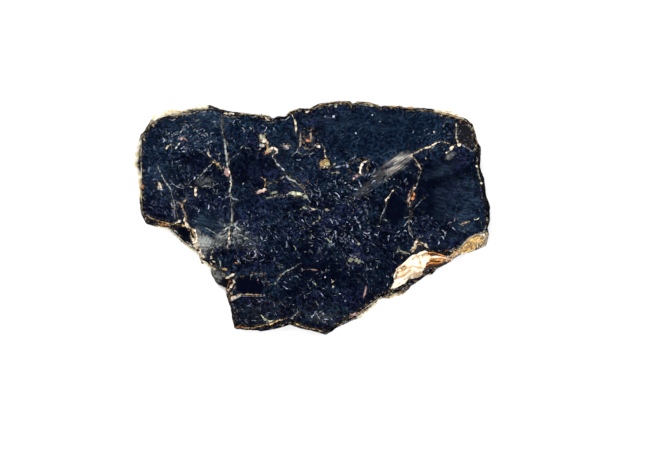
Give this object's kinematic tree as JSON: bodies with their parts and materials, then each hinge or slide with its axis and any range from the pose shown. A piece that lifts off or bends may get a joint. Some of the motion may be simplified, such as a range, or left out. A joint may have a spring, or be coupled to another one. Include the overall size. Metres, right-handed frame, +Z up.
{
  "type": "mica specimen",
  "caption": "Flat broken book of biotite mica: dark stepped cleavage sheets with a ragged layered edge and a pale weathered pocket, lying on its underside.",
  "frame": {"origin": "centre of the bounding box's bottom, on the plane that the specimen lies on", "axes": "+X along the longest side, +Z up, out of the large cleavage face"},
  "size_m": [0.0896, 0.059, 0.008],
  "materials": {
    "biotite": "glossy cleavage face, vitreous to pearly"
  },
  "bodies": {
    "root": {"biotite_book": "biotite"}
  },
  "joints": []
}
